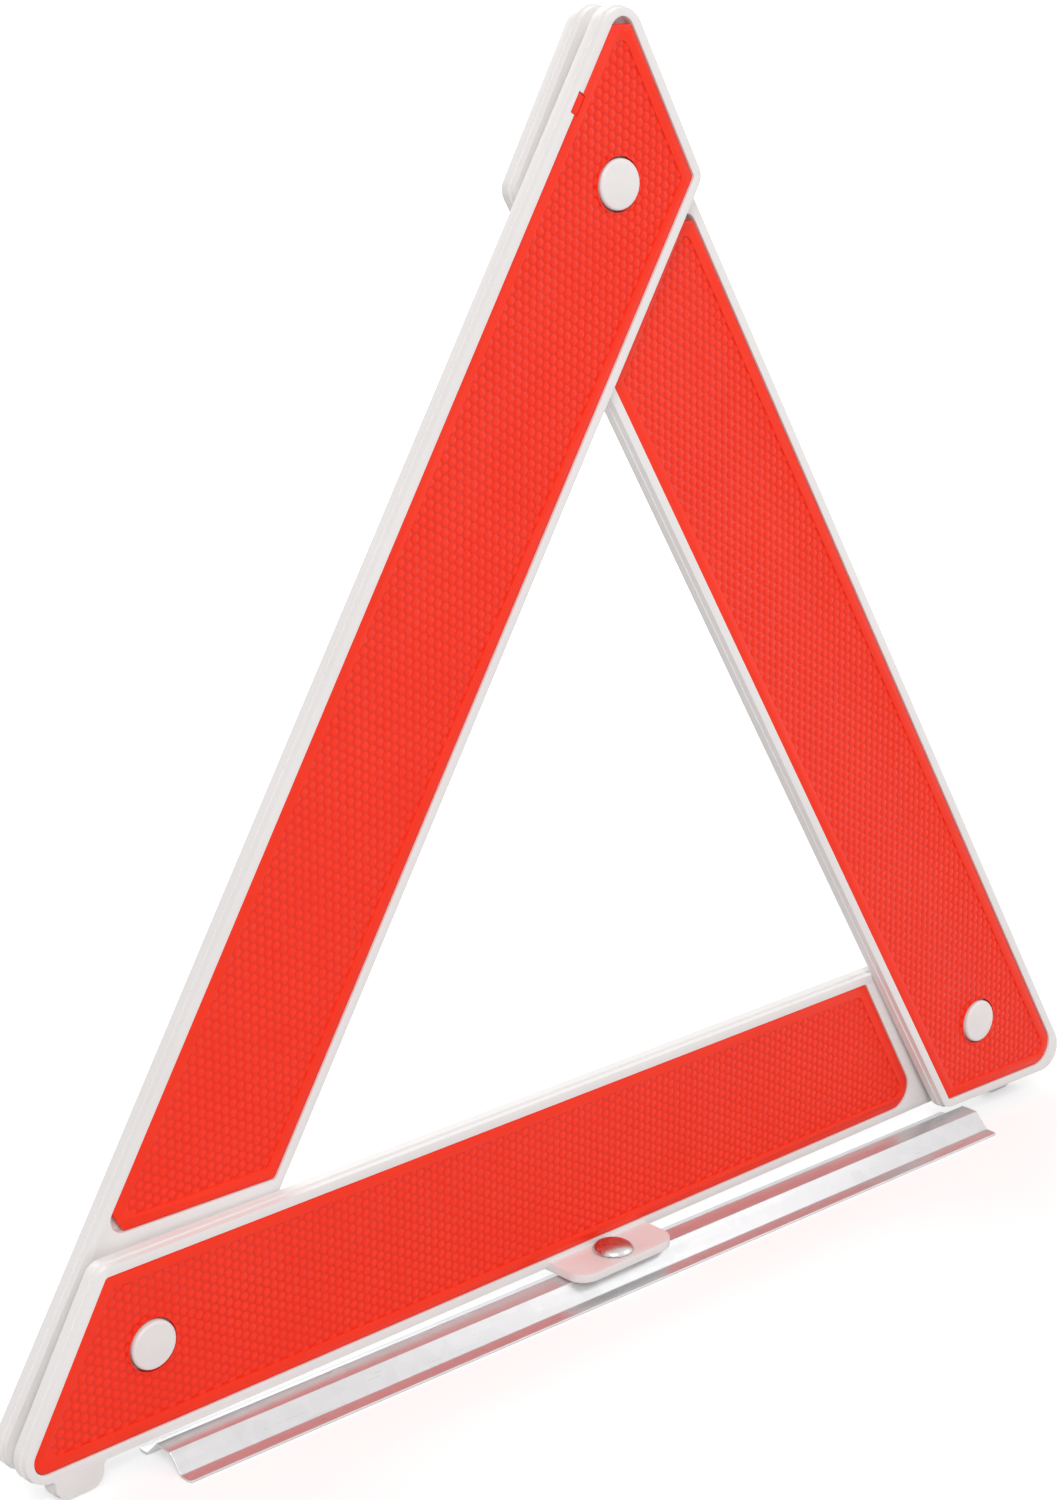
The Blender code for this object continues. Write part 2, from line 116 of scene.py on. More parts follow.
# Camera, fitted to the photograph
CAMERA_FROM_MIDDLE = Vector((-559, -590, 281)) * MM
CAMERA_AZIMUTH = math.radians(-41.67)
CAMERA_DOWN = math.radians(16.99)
CAMERA_ROLL = math.radians(-0.29)
CAMERA_LENS = 71.7              # focal length in mm
CAMERA_SENSOR = 36.0            # height in mm

# Studio
FLOOR_SIZE = 30.0               # in m
FLOOR_LIFT = 0.48               # the floor looks this much whiter than the light makes it
SHADOW_REACH = 0.5              # in m from the origin, further off the floor fades to plain white
WORLD_LIGHT = 0.5               # strength of the white world where it only gives light
LAMPS = (
    # name, place in m, side in m, power in W
    ("key light", (-1.1, -1.5, 1.7), 1.0, 28),
    ("fill light", (1.6, -1.3, 1.2), 1.6, 8),
    ("rear light", (0.3, 1.6, 1.6), 1.6, 22),
)

# Places of the arms, from the frame's joints
JOINTS = {joint["name"]: joint for joint in frame["record"]["behaviour"]["joints"]}


def corner_points():
    """Front ends of the three pins: lower left, top and lower right."""
    lower_left = Vector(JOINTS["left_fold"]["pos_m"])
    top = Vector(JOINTS["right_fold"]["pos_m"])
    lower_right = Vector((2 * top.x - lower_left.x, lower_left.y, lower_left.z))
    return lower_left, top, lower_right


LOWER_LEFT, TOP, LOWER_RIGHT = corner_points()
MIDDLE = (LOWER_LEFT + TOP + LOWER_RIGHT) / 3
SPACING = (LOWER_RIGHT - LOWER_LEFT).length
PITCH = (ARM_THICKNESS + RUN_CLEARANCE) / (1 - math.sqrt(3) * ARM_WIDTH / SPACING)
ARM_RADIUS = SPACING / math.sqrt(12)              # middle of the triangle to an arm's centre line
HEAD_X = -math.hypot(SPACING, PITCH) / 2          # pivot at an arm's head, along it from its middle
ARMS = {
    "bottom": (LOWER_LEFT, LOWER_RIGHT),
    "right": (LOWER_RIGHT, TOP),
    "left": (TOP, LOWER_LEFT),
}


def arm_matrix(arm):
    """Place of an arm: x from head to tail, y outwards, z to the rear, origin on its front face."""
    head, tail = ARMS[arm]
    along = (tail + Vector((0, PITCH, 0)) - head).normalized()
    centre = (head + tail) / 2 + Vector((0, PITCH / 2, 0))
    outwards = (head + tail) / 2 - MIDDLE
    outwards = (outwards - along * outwards.dot(along)).normalized()
    turn = Matrix((along, outwards, along.cross(outwards))).transposed()
    return Matrix.Translation(centre) @ turn.to_4x4()


# Mesh helpers


def new_object(name, data):
    """An object in the scene."""
    obj = bpy.data.objects.new(name, data)
    bpy.context.scene.collection.objects.link(obj)
    return obj


def piece(name, mesh, material, body, node):
    """A finished piece at the origin that rides on a body and stands for a node."""
    obj = new_object(name, mesh)
    mesh.materials.clear()
    mesh.materials.append(material)
    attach(obj, body)
    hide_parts(node)


def solid_copy(node):
    """A CAD node's surface with its loose triangles joined and its flat faces made whole."""
    shape = bmesh.new()
    shape.from_mesh(frame["nodes"][node].data)
    bmesh.ops.remove_doubles(shape, verts=shape.verts, dist=WELD)
    bmesh.ops.dissolve_limit(shape, angle_limit=FLAT_ANGLE, verts=shape.verts, edges=shape.edges)
    return shape


def arm_solid_copy(node, arm):
    """A CAD node's surface in its arm's own place."""
    shape = solid_copy(node)
    bmesh.ops.transform(shape, matrix=arm_matrix(arm).inverted(), verts=shape.verts)
    return shape


def mesh_of(shape, name):
    """Mesh of a shape, which is used up."""
    mesh = bpy.data.meshes.new(name)
    shape.to_mesh(mesh)
    shape.free()
    return mesh


def evaluated_mesh(obj, name):
    """Mesh of an object with its modifiers applied. The object is removed."""
    graph = bpy.context.evaluated_depsgraph_get()
    mesh = bpy.data.meshes.new_from_object(obj.evaluated_get(graph))
    mesh.name = name
    bpy.data.objects.remove(obj)
    return mesh


def rounded_edges(shape, name, width, steps=EDGE_STEPS, other=None, operation="DIFFERENCE"):
    """Mesh of a shape, joined with or cut by another where given, with its sharp edges rounded off."""
    obj = new_object(name + "_raw", mesh_of(shape, name))
    if other:
        tool = new_object(name + "_tool", other)
        combine = obj.modifiers.new("other", "BOOLEAN")
        combine.operation = operation
        combine.solver = "EXACT"
        combine.object = tool
    bevel = obj.modifiers.new("edges", "BEVEL")
    bevel.width = width
    bevel.segments = steps
    bevel.limit_method = "ANGLE"
    bevel.angle_limit = BEVEL_ANGLE
    bevel.use_clamp_overlap = True
    mesh = smooth(evaluated_mesh(obj, name))
    if other:
        bpy.data.objects.remove(tool)
    return mesh


def smooth(mesh):
    """Smooth shading that breaks at sharp edges."""
    shape = bmesh.new()
    shape.from_mesh(mesh)
    for face in shape.faces:
        face.smooth = True
    for edge in shape.edges:
        edge.smooth = edge.is_manifold and edge.calc_face_angle() < SMOOTH_ANGLE
    shape.to_mesh(mesh)
    shape.free()
    return mesh


# Material helpers


def new_material(name):
    """Material with a Principled shader and Object coordinates."""
    material = bpy.data.materials.new(name)
    material.use_nodes = True
    tree = material.node_tree
    shader = tree.nodes["Principled BSDF"]
    place = tree.nodes.new("ShaderNodeTexCoord")
    return material, tree, shader, place.outputs["Object"]


def noise(tree, place, scale, detail):
    """Noise with this many features to a metre."""
    node = tree.nodes.new("ShaderNodeTexNoise")
    node.inputs["Scale"].default_value = scale
    node.inputs["Detail"].default_value = detail
    tree.links.new(place, node.inputs["Vector"])
    return node.outputs["Fac"]


def ramp(tree, value, *stops):
    """Colour ramp through two (position, colour) stops."""
    node = tree.nodes.new("ShaderNodeValToRGB")
    for element, (position, colour) in zip(node.color_ramp.elements, stops):
        element.position = position
        element.color = (*colour, 1.0)
    tree.links.new(value, node.inputs["Fac"])
    return node.outputs["Color"]


def levels(tree, value, low, high):
    """Maps the middle of a noise to a range of plain values."""
    node = tree.nodes.new("ShaderNodeMapRange")
    node.inputs["From Min"].default_value = NOISE_MIDDLE[0]
    node.inputs["From Max"].default_value = NOISE_MIDDLE[1]
    node.inputs["To Min"].default_value = low
    node.inputs["To Max"].default_value = high
    tree.links.new(value, node.inputs["Value"])
    return node.outputs["Result"]


def bump(tree, shader, height, strength):
    """Fine relief in a material's surface."""
    node = tree.nodes.new("ShaderNodeBump")
    node.inputs["Strength"].default_value = strength
    node.inputs["Distance"].default_value = RELIEF_DEPTH
    tree.links.new(height, node.inputs["Height"])
    tree.links.new(node.outputs["Normal"], shader.inputs["Normal"])


# Materials


def white_plastic():
    """Satin moulded white, a little uneven, with a very fine skin."""
    material, tree, shader, place = new_material("moulded white plastic")
    patches = noise(tree, place, 14, 4)
    tone = ramp(tree, patches, (0.25, (0.80, 0.77, 0.76)), (0.75, (0.85, 0.825, 0.815)))
    tree.links.new(tone, shader.inputs["Base Color"])
    tree.links.new(levels(tree, noise(tree, place, 60, 4), 0.34, 0.46), shader.inputs["Roughness"])
    shader.inputs["Specular IOR Level"].default_value = 0.45
    bump(tree, shader, noise(tree, place, 1500, 2), 0.05)
    return material


def cap_plastic():
    """Smooth white of the pivot caps, slightly glossier than the arms."""
    material, tree, shader, place = new_material("white cap plastic")
    patches = noise(tree, place, 90, 4)
    tone = ramp(tree, patches, (0.3, (0.79, 0.75, 0.74)), (0.7, (0.84, 0.81, 0.80)))
    tree.links.new(tone, shader.inputs["Base Color"])
    tree.links.new(levels(tree, noise(tree, place, 200, 3), 0.28, 0.40), shader.inputs["Roughness"])
    bump(tree, shader, noise(tree, place, 900, 2), 0.05)
    return material


def red_lens():
    """Glossy red reflector plastic, a little uneven, with painted shade: a darker red the further a point
    lies behind the border's face, in the hollows between the cells and on the lens's sides and back.
    """
    material, tree, shader, place = new_material("red reflector plastic")
    patches = noise(tree, place, 40, 4)
    face = ramp(tree, patches, (0.25, (0.93, 0.028, 0.007)), (0.75, (0.97, 0.036, 0.010)))
    # Painted shade: the groove attribute mixes a darker red into the hollows between the cells
    groove = tree.nodes.new("ShaderNodeAttribute")
    groove.attribute_name = "groove"
    groove_shade_mix = tree.nodes.new("ShaderNodeMix")
    groove_shade_mix.data_type = "RGBA"
    groove_shade_mix.inputs["B"].default_value = (0.84, 0.024, 0.007, 1.0)
    tree.links.new(groove.outputs["Fac"], groove_shade_mix.inputs["Factor"])
    tree.links.new(face, groove_shade_mix.inputs["A"])
    tree.links.new(groove_shade_mix.outputs["Result"], shader.inputs["Base Color"])
    tree.links.new(levels(tree, noise(tree, place, 120, 3), 0.16, 0.26), shader.inputs["Roughness"])
    shader.inputs["Specular IOR Level"].default_value = 0.18
    bump(tree, shader, noise(tree, place, 700, 2), 0.04)
    return material


def galvanised_steel():
    """Bright zinc with soft spangle and faint rolling marks along the strip."""
    material, tree, shader, place = new_material("galvanised sheet")
    spangle = tree.nodes.new("ShaderNodeTexVoronoi")
    spangle.inputs["Scale"].default_value = 220
    tree.links.new(place, spangle.inputs["Vector"])
    stretch = tree.nodes.new("ShaderNodeMapping")
    stretch.inputs["Scale"].default_value = (0.05, 1.0, 1.0)
    tree.links.new(place, stretch.inputs["Vector"])
    rolled = noise(tree, stretch.outputs["Vector"], 900, 3)
    grains = spangle.outputs["Color"]
    tone = ramp(tree, grains, (0.1, (0.64, 0.645, 0.655)), (0.9, (0.68, 0.685, 0.695)))
    tree.links.new(tone, shader.inputs["Base Color"])
    tree.links.new(levels(tree, rolled, 0.27, 0.35), shader.inputs["Roughness"])
    shader.inputs["Metallic"].default_value = 0.65
    bump(tree, shader, rolled, 0.08)
    return material


def plated_steel(name, dark, pale, low, high):
    """Plated steel between two tones and two roughnesses, with faint handling marks."""
    material, tree, shader, place = new_material(name)
    tone = ramp(tree, noise(tree, place, 260, 4), (0.3, dark), (0.7, pale))
    tree.links.new(tone, shader.inputs["Base Color"])
    tree.links.new(levels(tree, noise(tree, place, 500, 4), low, high), shader.inputs["Roughness"])
    shader.inputs["Metallic"].default_value = 1.0
    bump(tree, shader, noise(tree, place, 1200, 3), 0.06)
    return material


def seen_rays(tree):
    """1 for rays from the camera, a mirror or glass, 0 for rays that only carry light."""
    path = tree.nodes.new("ShaderNodeLightPath")
    total = path.outputs["Is Camera Ray"]
    for name in ("Is Glossy Ray", "Is Transmission Ray"):
        either = tree.nodes.new("ShaderNodeMath")
        either.operation = "MAXIMUM"
        tree.links.new(total, either.inputs[0])
        tree.links.new(path.outputs[name], either.inputs[1])
        total = either.outputs[0]
    return total


def pale_floor():
    """White floor that keeps the shadow and runs into the white behind it."""
    material, tree, shader, place = new_material("pale floor")
    patches = noise(tree, place, 3, 2)
    tone = ramp(tree, patches, (0.3, (0.61, 0.61, 0.61)), (0.7, (0.63, 0.63, 0.63)))
    tree.links.new(tone, shader.inputs["Base Color"])
    shader.inputs["Roughness"].default_value = 0.6
    shader.inputs["Specular IOR Level"].default_value = 0.1
    shader.inputs["Emission Color"].default_value = (1.0, 1.0, 1.0, 1.0)
    far = tree.nodes.new("ShaderNodeVectorMath")
    far.operation = "LENGTH"
    tree.links.new(place, far.inputs[0])
    level = tree.nodes.new("ShaderNodeMapRange")
    level.interpolation_type = "SMOOTHSTEP"
    level.inputs["From Min"].default_value = SHADOW_REACH
    level.inputs["From Max"].default_value = 2 * SHADOW_REACH
    level.inputs["To Min"].default_value = FLOOR_LIFT
    tree.links.new(far.outputs["Value"], level.inputs["Value"])
    lift = tree.nodes.new("ShaderNodeMath")
    lift.operation = "MULTIPLY"
    tree.links.new(level.outputs["Result"], lift.inputs[0])
    tree.links.new(seen_rays(tree), lift.inputs[1])
    tree.links.new(lift.outputs[0], shader.inputs["Emission Strength"])
    return material


# Reflector cells


def cell_mesh():
    """One reflector cell: a round dome, part of a sphere, that looks along -z."""
    sphere = (CELL_RADIUS**2 + CELL_HEIGHT**2) / (2 * CELL_HEIGHT)
    section = [(CELL_RADIUS, CELL_SINK)]
    for share in CELL_RINGS:
        radius = CELL_RADIUS * share
        section.append((radius, sphere - CELL_HEIGHT - math.sqrt(sphere**2 - radius**2)))
    shape = bmesh.new()
    rings = []
    for radius, depth in section:
        ring = []
        for side in range(CELL_SIDES):
            angle = 2 * math.pi * side / CELL_SIDES
            ring.append(shape.verts.new((radius * math.cos(angle), radius * math.sin(angle), depth)))
        rings.append(ring)
    tip = shape.verts.new((0, 0, -CELL_HEIGHT))
    for side in range(CELL_SIDES):
        after = (side + 1) % CELL_SIDES
        for outer, inner in zip(rings, rings[1:]):
            shape.faces.new((outer[side], inner[side], inner[after], outer[after]))
        shape.faces.new((rings[-1][side], tip, rings[-1][after]))
    shape.faces.new(rings[0])
    bmesh.ops.recalc_face_normals(shape, faces=shape.faces)
    return mesh_of(shape, "reflector cell")


def field_prism():
    """Room for the cells of one lens, in the arm's own place: the solid's sunk field, a groove narrower."""
    shape = arm_solid_copy("bottom_reflector", "bottom")
    rest = [f for f in shape.faces if any(abs(v.co.z - FIELD_FLOOR) > NEAR for v in f.verts)]
    bmesh.ops.delete(shape, geom=rest, context="FACES")
    floor = shape.faces[:]
    ring = bmesh.ops.inset_region(shape, faces=floor, thickness=FIELD_GROOVE, use_even_offset=True)
    bmesh.ops.delete(shape, geom=ring["faces"], context="FACES")
    for vertex in shape.verts:
        vertex.co.z = 2 * CELL_SINK
    top = bmesh.ops.extrude_face_region(shape, geom=shape.faces[:])
    for item in top["geom"]:
        if isinstance(item, bmesh.types.BMVert):
            item.co.z = -2 * CELL_HEIGHT
    bmesh.ops.recalc_face_normals(shape, faces=shape.faces)
    return mesh_of(shape, "cell room")


class Tree:
    """A Geometry Nodes tree with named sizes as its inputs and short ways to add nodes."""

    def __init__(self, name, sizes):
        self.group = bpy.data.node_groups.new(name, "GeometryNodeTree")
        self.add_socket("Geometry", "INPUT", "NodeSocketGeometry")
        self.add_socket("Geometry", "OUTPUT", "NodeSocketGeometry")
        self.values = {}
        for key, value in sizes.items():
            identifier = self.add_socket(key, "INPUT", "NodeSocketFloat")
            self.values[identifier] = value
        self.entry = self.group.nodes.new("NodeGroupInput")

    def add_socket(self, name, direction, kind):
        """An input or output of the tree, known by its identifier."""
        socket = self.group.interface.new_socket(name, in_out=direction, socket_type=kind)
        return socket.identifier

    def size(self, name):
        """One of the named sizes."""
        return self.entry.outputs[name]

    def link(self, source, target):
        """A link from an output to an input."""
        self.group.links.new(source, target)

    def node(self, kind, links=(), **settings):
        """A node with its inputs linked or set, and its own settings."""
        made = self.group.nodes.new(kind)
        for key, value in settings.items():
            setattr(made, key, value)
        for socket, source in links:
            if isinstance(source, bpy.types.NodeSocket):
                self.link(source, made.inputs[socket])
            else:
                made.inputs[socket].default_value = source
        return made

    def math(self, operation, a, b=0.0):
        """Result of a plain sum on one or two values."""
        return self.node("ShaderNodeMath", ((0, a), (1, b)), operation=operation).outputs[0]

    def position(self):
        """A point's x, y and z."""
        place = self.node("GeometryNodeInputPosition").outputs[0]
        return self.node("ShaderNodeSeparateXYZ", ((0, place),)).outputs

    def shape(self, obj):
        """An object's geometry."""
        return self.node("GeometryNodeObjectInfo", (("Object", obj),)).outputs["Geometry"]

    def realised(self, points, shape):
        """Real copies of a shape on these points."""
        copies = self.node("GeometryNodeInstanceOnPoints", (("Points", points), ("Instance", shape)))
        return self.node("GeometryNodeRealizeInstances", (("Geometry", copies.outputs[0]),)).outputs[0]

    def applied(self, geometry, name):
        """Mesh of what the tree makes, from this geometry."""
        leave = self.group.nodes.new("NodeGroupOutput")
        self.link(geometry, leave.inputs["Geometry"])
        holder = new_object(name, bpy.data.meshes.new(name))
        modifier = holder.modifiers.new(name, "NODES")
        modifier.node_group = self.group
        for identifier, value in self.values.items():
            modifier[identifier] = value
        return evaluated_mesh(holder, name)


def cell_grid(tree, half_width):
    """Middles of the cells: whole columns across the arm, every other one shifted by half a pitch."""
    columns = 2 * math.ceil(-HEAD_X * GRID_MARGIN / (CELL_PITCH * COS_30)) + 1
    rows = 2 * math.ceil(half_width / CELL_PITCH) + 3
    pitch = tree.size("Pitch")
    step = tree.math("MULTIPLY", pitch, COS_30)
    width = tree.math("MULTIPLY", step, columns - 1)
    depth = tree.math("MULTIPLY", pitch, rows - 1)
    grid = tree.node(
        "GeometryNodeMeshGrid",
        (("Size X", width), ("Size Y", depth), ("Vertices X", columns), ("Vertices Y", rows)),
    )
    column = tree.math("ROUND", tree.math("DIVIDE", tree.position()["X"], step))
    odd = tree.math("PINGPONG", column, 1.0)
    shift = tree.math("MULTIPLY", odd, tree.math("DIVIDE", pitch, 2.0))
    offset = tree.node("ShaderNodeCombineXYZ", (("Y", shift),)).outputs[0]
    moved = tree.node("GeometryNodeSetPosition", (("Geometry", grid.outputs["Mesh"]), ("Offset", offset)))
    return moved.outputs[0]


def distance_past_field(tree):
    """How far a point lies outside the field, at its ends, its long edges or the cap's hole."""
    here = tree.position()
    x = here["X"]
    y = here["Y"]
    half = tree.math("MULTIPLY", tree.math("ADD", tree.size("Arm radius"), y), SIN_30)
    along = tree.math("MULTIPLY", x, COS_30)
    backwards = tree.math("MULTIPLY", along, -1.0)
    past_tail = tree.math("SUBTRACT", tree.math("SUBTRACT", along, half), tree.size("Tail reach"))
    past_head = tree.math("SUBTRACT", tree.math("SUBTRACT", backwards, half), tree.size("Head reach"))
    past_edge = tree.math("SUBTRACT", tree.math("ABSOLUTE", y), tree.size("Half width"))
    from_pivot = tree.math("SUBTRACT", x, tree.size("Pivot"))
    squared = tree.math("ADD", tree.math("MULTIPLY", from_pivot, from_pivot), tree.math("MULTIPLY", y, y))
    on_cap = tree.math("SUBTRACT", tree.size("Cap hole"), tree.math("SQRT", squared))
    past_ends = tree.math("MAXIMUM", past_tail, past_head)
    return tree.math("MAXIMUM", past_ends, tree.math("MAXIMUM", past_edge, on_cap))


def cell_field_mesh():
    """All the cells of one reflector, in the arm's own place, with those at the field's rim cut off there."""
    inset = RIM_WIDTH + LENS_GAP + FIELD_BORDER
    half_width = ARM_WIDTH / 2 - inset
    tree = Tree("reflector cells", {
        "Pitch": CELL_PITCH,
        "Half width": half_width,
        "Head reach": ARM_RADIUS + ARM_WIDTH / 2 - inset,
        "Tail reach": ARM_RADIUS - ARM_WIDTH / 2 - inset,
        "Arm radius": ARM_RADIUS,
        "Pivot": HEAD_X,
        "Cap hole": CAP_HOLE,
        "Cell radius": CELL_RADIUS,
        "Cut within": CELL_RADIUS + FIELD_GROOVE + FIELD_ROUNDING,
    })
    points = cell_grid(tree, half_width)
    past = distance_past_field(tree)
    outside = tree.math("GREATER_THAN", past, tree.size("Cell radius"))
    kept = tree.node(
        "GeometryNodeDeleteGeometry",
        (("Geometry", points), ("Selection", outside)),
        domain="POINT",
    )
    inside = tree.math("LESS_THAN", past, tree.math("MULTIPLY", tree.size("Cut within"), -1.0))
    parted = tree.node(
        "GeometryNodeSeparateGeometry",
        (("Geometry", kept.outputs[0]), ("Selection", inside)),
        domain="POINT",
    )
    template = bpy.data.objects.new("cell template", cell_mesh())
    room = bpy.data.objects.new("cell room", field_prism())
    cell = tree.shape(template)
    walls = tree.shape(room)
    whole = tree.realised(parted.outputs["Selection"], cell)
    cut = tree.node("GeometryNodeMeshBoolean", operation="INTERSECT", solver="EXACT")
    tree.link(tree.realised(parted.outputs["Inverted"], cell), cut.inputs["Mesh 2"])
    tree.link(walls, cut.inputs["Mesh 2"])
    joined = tree.node("GeometryNodeJoinGeometry")
    tree.link(whole, joined.inputs[0])
    tree.link(cut.outputs["Mesh"], joined.inputs[0])
    mesh = tree.applied(joined.outputs[0], "cell field")
    for spare in (template, room):
        bpy.data.objects.remove(spare)
    return mesh


# Corners, lug and collar


def pointed_corner(side, inset):
    """Sharp corner of a pocket or lens at its head (-1) or tail (1), and the way out along its bisector."""
    edge = ARM_WIDTH / 2 - RIM_WIDTH - inset
    reach = ARM_RADIUS - side * ARM_WIDTH / 2 - RIM_WIDTH - inset
    corner = Vector((side * (reach + (ARM_RADIUS + edge) * SIN_30) / COS_30, edge, 0))
    return corner, Vector((side * COS_30, SIN_30, 0))


def corner_arc(shape, corner, outwards, radius, deepest):
    """Points on the rounding of this radius at a 60 degree corner, with their outward directions."""
    middle = corner - outwards * 2 * radius
    found = []
    for vertex in shape.verts:
        away = Vector((vertex.co.x - middle.x, vertex.co.y - middle.y, 0))
        on_arc = abs(away.length - radius) < NEAR and away.normalized().dot(outwards) > ARC_END
        if on_arc and vertex.co.z < deepest:
            found.append((vertex, away.normalized()))
    return found


def reround(shape, side, inset, radius, new_radius, deepest=math.inf):
    """Another radius at a pointed corner: its points move towards or away from the sharp corner."""
    corner, outwards = pointed_corner(side, inset)
    for vertex, away in corner_arc(shape, corner, outwards, radius, deepest):
        point = corner - outwards * 2 * new_radius + away * new_radius
        vertex.co.xy = point.xy


def cut_corner(shape, side, inset, radius):
    """A flat with rounded shoulders in place of a pointed corner's rounding."""
    corner, outwards = pointed_corner(side, inset)
    across = Vector((-outwards.y, outwards.x, 0))
    middle = corner - outwards * (LENS_CUT + SHOULDER)
    half = (LENS_CUT - SHOULDER) * TAN_30
    for vertex, away in corner_arc(shape, corner, outwards, radius, math.inf):
        turn = away.dot(across)
        shoulder = 0 if abs(turn) < ARC_MIDDLE else math.copysign(half, turn)
        point = middle + across * shoulder + away * SHOULDER
        vertex.co.xy = point.xy


def box_mesh(name, low, high):
    """Box between two opposite corners."""
    shape = bmesh.new()
    bmesh.ops.create_cube(shape, size=1)
    for vertex in shape.verts:
        vertex.co = [a + (b - a) * (c + 0.5) for a, b, c in zip(low, high, vertex.co)]
    return mesh_of(shape, name)


def lug_box(front, play):
    """The left lens's lug, or with some play the notch that it sits in, in the arm's own place."""
    edge = ARM_WIDTH / 2 - RIM_WIDTH - LENS_GAP
    half = LUG_LENGTH / 2 + play
    low = (LUG_X - half, edge - LUG_OVERLAP, front)
    high = (LUG_X + half, edge + LENS_GAP + LUG_REACH + play, LUG_BACK + play)
    return box_mesh("lug", low, high)


def add_collar(shape, floor):
    """Thin smooth ring round the cap's hole, from the field's floor up to the border's face."""
    outer = CAP_HOLE + COLLAR_WIDTH
    bottom = floor + CELL_SINK
    profile = ((CAP_HOLE, bottom), (CAP_HOLE, LENS_FACE), (outer, LENS_FACE), (outer, bottom))
    rings = []
    for side in range(COLLAR_SIDES):
        angle = 2 * math.pi * side / COLLAR_SIDES
        ring = []
        for radius, depth in profile:
            x = HEAD_X + radius * math.cos(angle)
            ring.append(shape.verts.new((x, radius * math.sin(angle), depth)))
        rings.append(ring)
    made = []
    for side in range(COLLAR_SIDES):
        here = rings[side]
        after = rings[(side + 1) % COLLAR_SIDES]
        for i in range(len(profile)):
            j = (i + 1) % len(profile)
            made.append(shape.faces.new((here[i], after[i], after[j], here[j])))
    bmesh.ops.recalc_face_normals(shape, faces=made)


# Pieces


def make_arm(arm, material):
    """Moulded tray with its deeper pocket corners, and the left one's notch."""
    node = arm + "_arm_frame"
    shape = arm_solid_copy(node, arm)
    for side in DEEP_POCKETS[arm]:
        reround(shape, side, 0, POCKET_RADIUS, DEEP_RADIUS, POCKET_DEPTH + NEAR)
    notch = lug_box(-LUG_OVERLAP, LUG_PLAY) if arm == "left" else None
    mesh = rounded_edges(shape, node + "_moulding", TRAY_EDGE, other=notch)
    mesh.transform(arm_matrix(arm))
    piece(arm + "_arm_moulding", mesh, material, arm + "_arm", node)


def make_reflector(arm, cells, material):
    """Lens body with its own corners, a deeper floor, a collar and cells, and the left one's lug."""
    node = arm + "_reflector"
    shape = arm_solid_copy(node, arm)
    for side in DEEP_POCKETS[arm]:
        if side in CUT_LENSES[arm]:
            cut_corner(shape, side, LENS_GAP, LENS_RADIUS)
        else:
            reround(shape, side, LENS_GAP, LENS_RADIUS, TIP_RADIUS)
    floor = FIELD_FLOOR + FLOOR_DROP
    for vertex in shape.verts:
        if abs(vertex.co.z - FIELD_FLOOR) < NEAR:
            vertex.co.z = floor
    lug = lug_box(LENS_FACE, 0) if arm == "left" else None
    body = rounded_edges(shape, node + "_body", LENS_EDGE, LENS_EDGE_STEPS, lug, "UNION")
    field = cells.copy()
    field.transform(Matrix.Translation((0, 0, floor)))
    joined = bmesh.new()
    joined.from_mesh(body)
    add_collar(joined, floor)
    joined.from_mesh(field)
    for spare in (body, field):
        bpy.data.meshes.remove(spare)
    # Painted shade: how much of the darker red each point takes, from how far it lies behind the border's
    # face; full on the field's floor, the lens's sides and its back
    painted_groove_shade = joined.verts.layers.float.new("groove")
    for vertex in joined.verts:
        depth = (vertex.co.z - LENS_FACE) / (floor - LENS_FACE)
        vertex[painted_groove_shade] = min(max(depth, 0), 1) ** GROOVE_SHADE_CURVE
    bmesh.ops.transform(joined, matrix=arm_matrix(arm), verts=joined.verts)
    mesh = smooth(mesh_of(joined, node + "_lens"))
    piece(arm + "_reflector_lens", mesh, material, arm + "_arm", node)


def make_pins(material):
    """White caps with their shanks."""
    pins = (("lower_left_pivot_pin", "bottom_arm"), ("top_pivot_pin", "left_arm"), ("latch_peg", "right_arm"))
    for node, body in pins:
        mesh = rounded_edges(solid_copy(node), node + "_turned", CAP_EDGE)
        piece(node + "_turned", mesh, material, body, node)


def make_stand(sheet, bright):
    """Bent strip and the rivet that holds it."""
    mesh = rounded_edges(solid_copy("stand_plate"), "stand_sheet", SHEET_EDGE)
    piece("stand_sheet", mesh, sheet, "stand", "stand_plate")
    mesh = rounded_edges(solid_copy("stand_rivet"), "rivet_turned", STEEL_EDGE)
    piece("stand_rivet_turned", mesh, bright, "bottom_arm", "stand_rivet")


def make_rings(material):
    """Washer under the stand and the two pins' retaining rings."""
    rings = (("stand_washer", "stand"), ("lower_left_retainer", "bottom_arm"), ("top_retainer", "left_arm"))
    for node, body in rings:
        mesh = rounded_edges(solid_copy(node), node + "_ring", STEEL_EDGE)
        piece(node + "_ring", mesh, material, body, node)


# Studio and camera


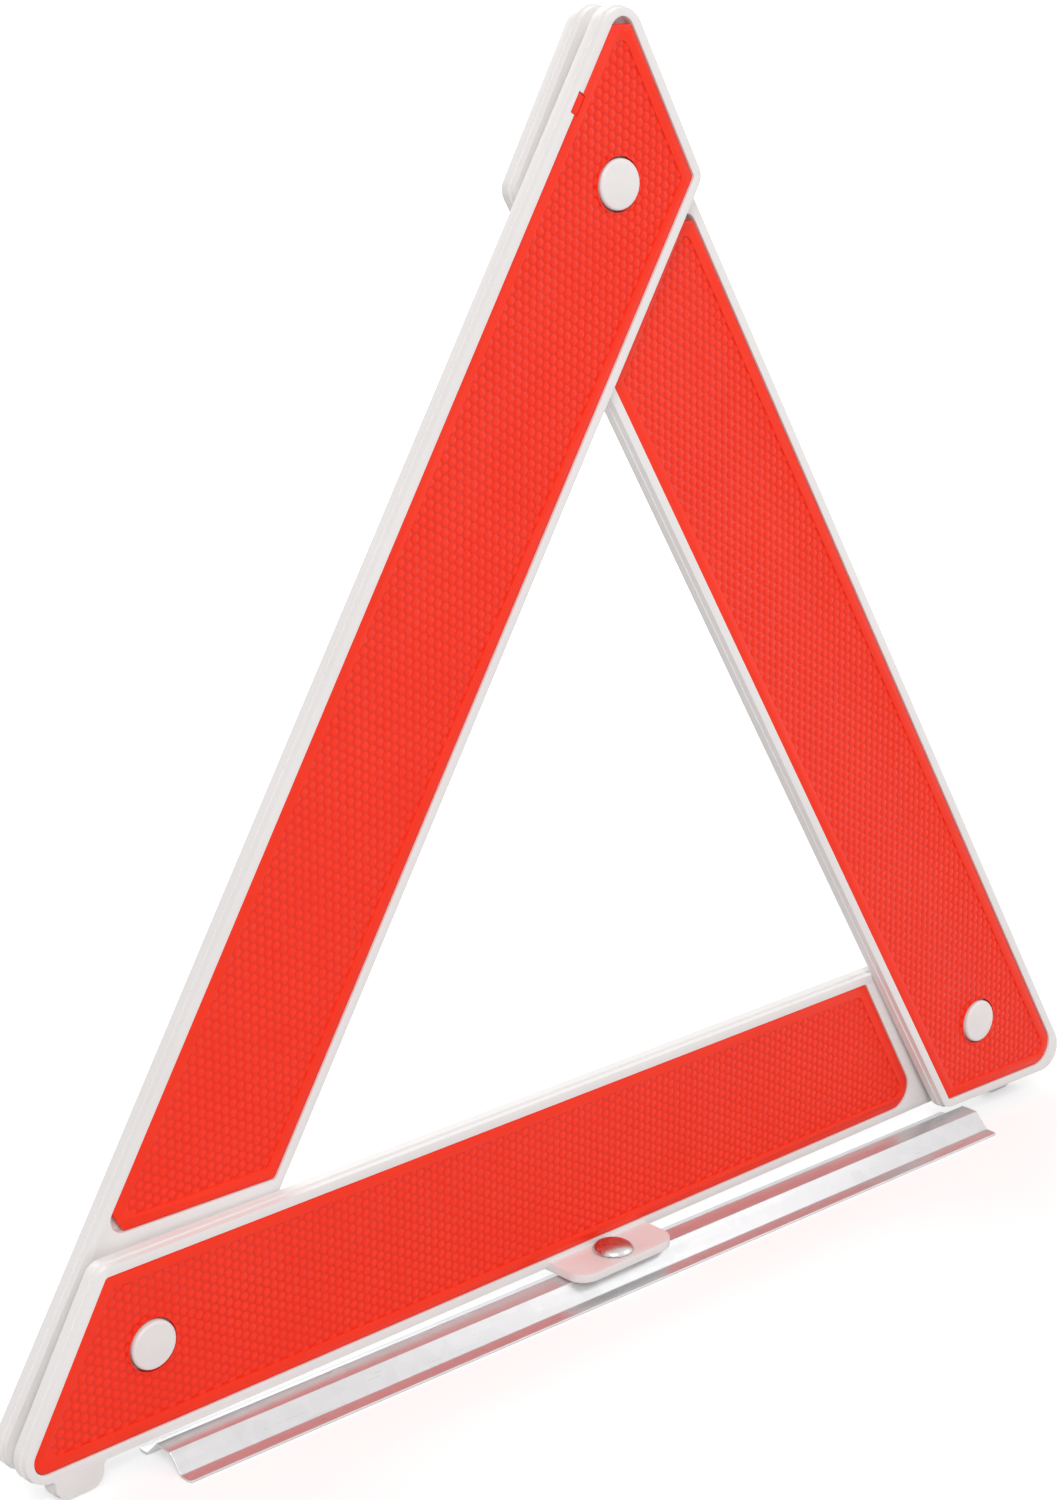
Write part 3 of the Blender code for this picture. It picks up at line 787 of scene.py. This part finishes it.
def make_studio():
    """Floor, white world and three soft lamps."""
    bpy.ops.mesh.primitive_plane_add(size=FLOOR_SIZE, location=(0, 0, 0))
    floor = bpy.context.object
    floor.name = "floor"
    floor.data.materials.append(pale_floor())
    world = bpy.data.worlds.new("studio")
    world.use_nodes = True
    tree = world.node_tree
    back = tree.nodes["Background"]
    back.inputs["Color"].default_value = (1.0, 1.0, 1.0, 1.0)
    level = tree.nodes.new("ShaderNodeMapRange")
    level.inputs["To Min"].default_value = WORLD_LIGHT
    tree.links.new(seen_rays(tree), level.inputs["Value"])
    tree.links.new(level.outputs["Result"], back.inputs["Strength"])
    bpy.context.scene.world = world
    for name, place, side, power in LAMPS:
        make_lamp(name, place, side, power)


def make_lamp(name, place, side, power):
    """Square soft light that faces the middle of the triangle."""
    light = bpy.data.lights.new(name, "AREA")
    light.size = side
    light.energy = power
    lamp = new_object(name, light)
    lamp.location = place
    lamp.rotation_euler = (MIDDLE - Vector(place)).to_track_quat("-Z", "Y").to_euler()


def make_camera():
    """Camera that sees the triangle as the photograph does."""
    data = bpy.data.cameras.new("camera")
    data.sensor_fit = "VERTICAL"
    data.sensor_height = CAMERA_SENSOR
    data.lens = CAMERA_LENS
    camera = new_object("camera", data)
    camera.location = MIDDLE + CAMERA_FROM_MIDDLE
    aim = Matrix.Rotation(CAMERA_AZIMUTH, 3, "Z") @ Matrix.Rotation(math.pi / 2 - CAMERA_DOWN, 3, "X")
    camera.rotation_euler = (aim @ Matrix.Rotation(CAMERA_ROLL, 3, "Z")).to_euler()
    bpy.context.scene.camera = camera


def main():
    """The whole scene."""
    bpy.context.scene.view_settings.view_transform = "Standard"
    make_studio()
    make_camera()
    white = white_plastic()
    for arm in ARMS:
        make_arm(arm, white)
    red = red_lens()
    cells = cell_field_mesh()
    for arm in ARMS:
        make_reflector(arm, cells, red)
    make_pins(cap_plastic())
    bright = plated_steel("bright rivet steel", (0.56, 0.54, 0.53), (0.68, 0.66, 0.65), 0.24, 0.34)
    make_stand(galvanised_steel(), bright)
    make_rings(plated_steel("plain ring steel", (0.50, 0.50, 0.51), (0.60, 0.60, 0.61), 0.30, 0.42))


main()
